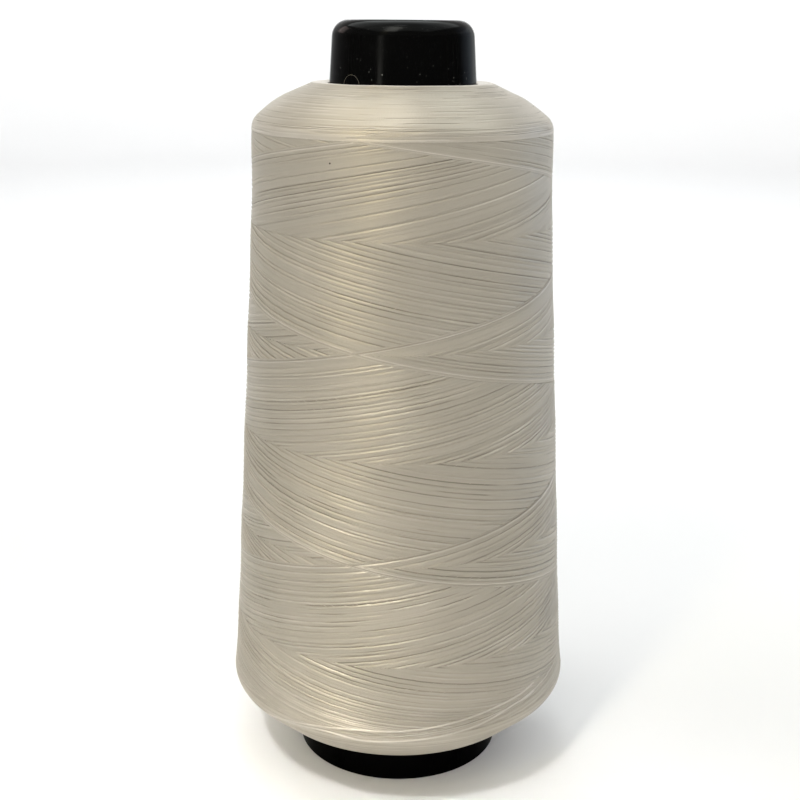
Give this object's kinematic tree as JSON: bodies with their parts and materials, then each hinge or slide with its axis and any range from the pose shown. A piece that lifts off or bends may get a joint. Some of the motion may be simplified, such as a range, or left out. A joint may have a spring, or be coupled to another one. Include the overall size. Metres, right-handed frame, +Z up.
{
  "type": "cone of thread",
  "caption": "Cone of satin cream thread, cross-wound with sloping shoulders on a hollow black plastic tube with a rounded nose, standing on its open base.",
  "frame": {"origin": "centre of the tube's base rim, on the surface that the cone stands on", "axes": "+Z up the tube's axis, from the base to the nose; the pictured side faces -Y, and +X is to its right"},
  "size_m": [0.054, 0.0538, 0.115],
  "materials": {
    "black_plastic": "moulded black plastic with a soft gloss, fine scuffs and a little lint",
    "cream_thread": "satin filament thread, cream, with a soft sheen along the turns"
  },
  "bodies": {
    "root": {"cone_tube": "black_plastic", "thread_package": "cream_thread"}
  },
  "joints": []
}
